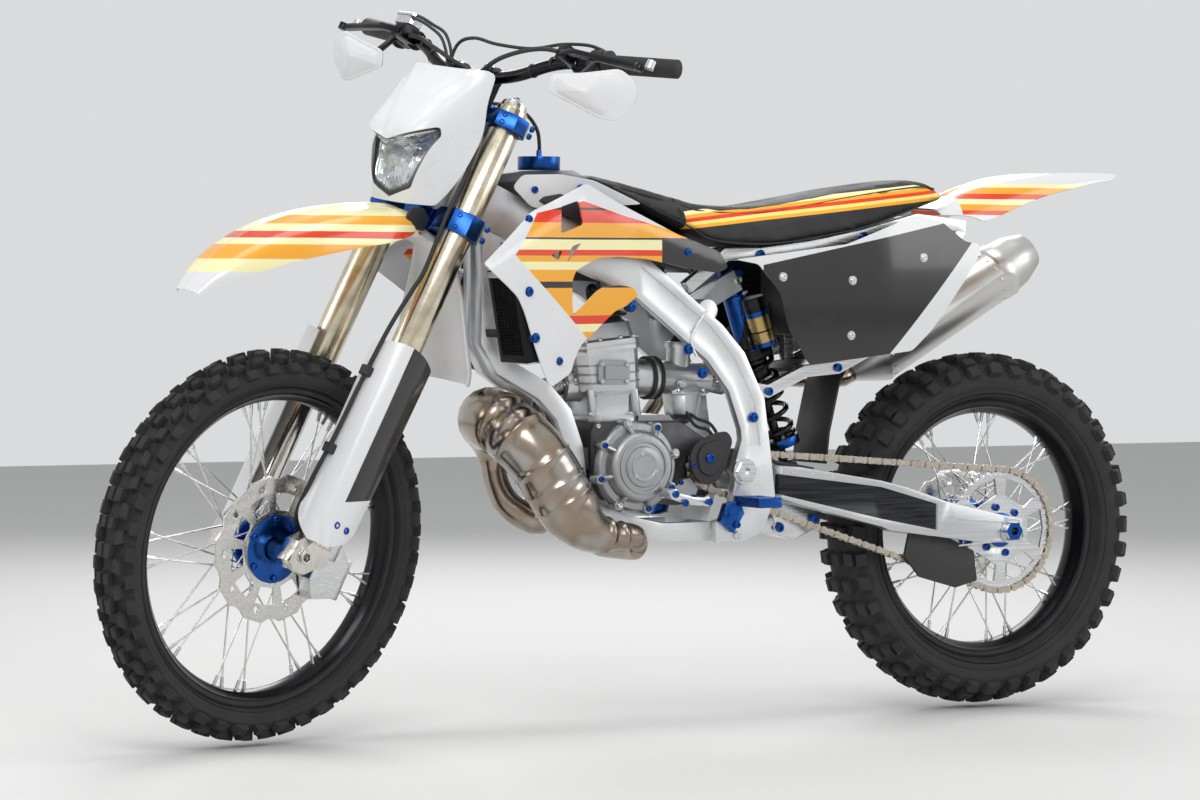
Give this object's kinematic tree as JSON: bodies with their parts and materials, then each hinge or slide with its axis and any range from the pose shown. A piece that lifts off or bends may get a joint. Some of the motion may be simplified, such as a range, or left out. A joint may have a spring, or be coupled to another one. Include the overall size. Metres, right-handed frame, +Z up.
{
  "type": "trail motorcycle",
  "caption": "Off-road motorcycle with knobby tyres, twin-spar frame, expansion-chamber exhaust, high fenders and bars turned to the left.",
  "frame": {"origin": "the rider's seat reference point on top of the seat, on the middle plane", "axes": "+X forward, +Y to the rider's left, +Z up"},
  "size_m": [2.1597, 0.7985, 1.2776],
  "materials": {
    "cast_aluminium": "satin cast",
    "machined_aluminium": "bright satin",
    "grey_cast_covers": "satin grey",
    "dark_swingarm": "dark brushed",
    "white_plastic": "gloss",
    "striped_plastic": "gloss, amber, red and yellow stripes",
    "black_plastic": "matt",
    "seat_cover": "grained cover",
    "fork_gold": "champagne anodised",
    "fork_chrome": "polished",
    "blue_anodised": "blue anodised",
    "black_anodised": "black anodised",
    "bare_steel": "bare, heat tinted",
    "silencer_alloy": "brushed",
    "disc_steel": "brushed",
    "chain_steel": "oiled",
    "tyre": "rubber",
    "black_rubber": "rubber",
    "lamp_lens": "clear",
    "radiator_black": "matt black"
  },
  "bodies": {
    "chassis": {"frame_spars": "cast_aluminium", "cradle": "cast_aluminium", "subframe": "machined_aluminium", "swingarm": "dark_swingarm", "rear_axle": "machined_aluminium", "shock_body": "blue_anodised", "shock_spring": "black_anodised", "linkage": "machined_aluminium", "crankcase": "grey_cast_covers", "engine_covers": "grey_cast_covers", "cylinder": "cast_aluminium", "cylinder_head": "machined_aluminium", "carburettor": "cast_aluminium", "airbox": "black_plastic", "expansion_chamber": "bare_steel", "tail_pipe": "bare_steel", "silencer": "silencer_alloy", "fuel_tank": "black_plastic", "fuel_cap": "blue_anodised", "radiators": "radiator_black", "shrouds": "striped_plastic", "seat": "seat_cover", "side_panels": "white_plastic", "rear_fender": "striped_plastic", "mud_flap": "black_plastic", "footpegs": "bare_steel", "foot_controls": "machined_aluminium", "front_sprocket": "chain_steel", "chain": "chain_steel", "chain_guide": "black_plastic", "rear_caliper": "machined_aluminium"},
    "steering": {"triple_clamps": "blue_anodised", "fork_outer_tubes": "fork_gold", "fork_legs": "fork_chrome", "fork_guards": "white_plastic", "front_caliper": "machined_aluminium", "front_brake_hose": "black_rubber", "front_fender": "striped_plastic", "headlight_mask": "white_plastic", "headlight": "lamp_lens", "handlebar": "black_anodised", "grips": "black_rubber", "hand_guards": "white_plastic", "levers": "black_anodised"},
    "front_wheel": {"front_tyre": "tyre", "front_rim": "black_anodised", "front_spokes": "machined_aluminium", "front_hub": "blue_anodised", "front_disc": "disc_steel"},
    "rear_wheel": {"rear_tyre": "tyre", "rear_rim": "black_anodised", "rear_spokes": "machined_aluminium", "rear_hub": "blue_anodised", "rear_disc": "disc_steel", "rear_sprocket": "machined_aluminium"}
  },
  "joints": [
    {"name": "steering_hinge", "type": "hinge", "parent": "chassis", "child": "steering", "pos_m": [0.69043, 0, -0.04007], "axis": [-0.4462, 0, 0.8949], "range_deg": [-58.9, 27.1]},
    {"name": "front_wheel_spin", "type": "hinge", "parent": "steering", "child": "front_wheel", "pos_m": [1.0232, 0.01444, -0.5939], "axis": [-0.2452, 0.9617, -0.1222], "continuous": true},
    {"name": "rear_wheel_spin", "type": "hinge", "parent": "chassis", "child": "rear_wheel", "pos_m": [-0.47, 0, -0.603], "axis": [0, 1, 0], "continuous": true}
  ]
}
